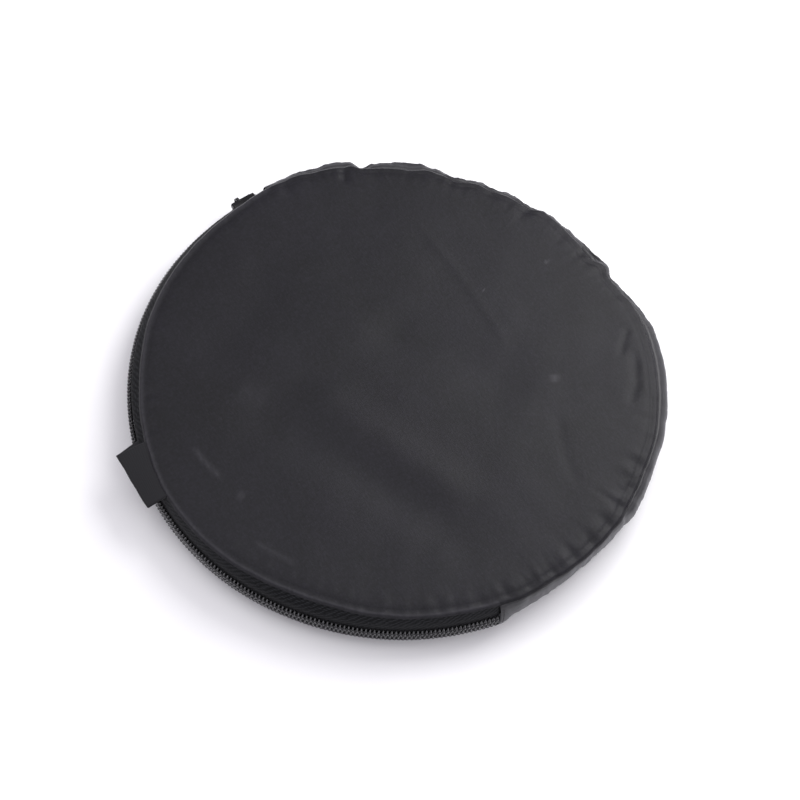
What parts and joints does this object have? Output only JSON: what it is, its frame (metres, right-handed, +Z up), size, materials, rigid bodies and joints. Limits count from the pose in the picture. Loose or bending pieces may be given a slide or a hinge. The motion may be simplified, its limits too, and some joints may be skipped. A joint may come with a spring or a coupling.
{
  "type": "collapsible reflector disc in its pouch",
  "caption": "Flat round black nylon pouch with a coil zip round half its rim and a short carry loop, holding a photographic reflector disc twisted into three loops.",
  "frame": {"origin": "centre of the pouch's underside, on the surface it lies on", "axes": "+Z up, square to the round panels; the zip runs round the -Y half of the rim, and the lid folds back on a line along X"},
  "size_m": [0.2148, 0.2155, 0.021],
  "materials": {
    "pouch_nylon": "matte",
    "binding_tape": "matte",
    "zip_tape": "matte",
    "zip_coil": "satin",
    "zip_stop": "satin",
    "loop_ribbon": "matte",
    "slider_metal": "satin",
    "pull_metal": "satin",
    "spring_steel": "satin",
    "ferrule_steel": "satin",
    "casing_tape": "matte",
    "diffuser_cloth": "matte",
    "silver_cloth": "satin",
    "gold_cloth": "satin",
    "cover_zip": "matte",
    "cover_slider": "satin"
  },
  "bodies": {
    "pouch": {"bottom_panel": "pouch_nylon", "top_panel_rear": "pouch_nylon", "gusset_band": "pouch_nylon", "seam_binding_lower": "binding_tape", "seam_binding_rear": "binding_tape", "zip_tape_lower": "zip_tape", "zip_tape_left_end": "zip_tape", "zip_tape_right_end": "zip_tape", "zip_coil_lower": "zip_coil", "zip_coil_left_end": "zip_coil", "zip_coil_right_end": "zip_coil", "zip_top_stops": "zip_stop", "zip_bottom_stop": "zip_stop"},
    "lid": {"top_panel_lid": "pouch_nylon", "zip_tape_lid": "zip_tape", "zip_coil_lid": "zip_coil", "seam_binding_lid": "binding_tape", "carry_loop": "loop_ribbon"},
    "slider": {"slider_body": "slider_metal"},
    "pull": {"pull_tab": "pull_metal"},
    "reflector": {"spring_hoop": "spring_steel", "hoop_ferrule": "ferrule_steel", "hoop_casing": "casing_tape", "diffuser_cloth": "diffuser_cloth", "cover_silver_white": "silver_cloth", "cover_gold_black": "gold_cloth", "cover_zip_chain": "cover_zip", "cover_zip_slider": "cover_slider"}
  },
  "joints": [
    {"name": "lid_fold", "type": "hinge", "parent": "pouch", "child": "lid", "pos_m": [0, -0.024, 0.021], "axis": [-1, 0, 0], "range_deg": [0, 150]},
    {"name": "zip_travel", "type": "hinge", "parent": "pouch", "child": "slider", "pos_m": [0, 0, 0.0105], "axis": [0, 0, 1], "range_deg": [0, 161.3]},
    {"name": "pull_swing", "type": "hinge", "parent": "slider", "child": "pull", "pos_m": [-0.10732, -0.01127, 0.0105], "axis": [-0.0906, 0.9959, 0], "range_deg": [0, 170]},
    {"name": "reflector_turn", "type": "hinge", "parent": "pouch", "child": "reflector", "pos_m": [0, 0, 0.0105], "axis": [0, 0, 1], "continuous": true}
  ]
}
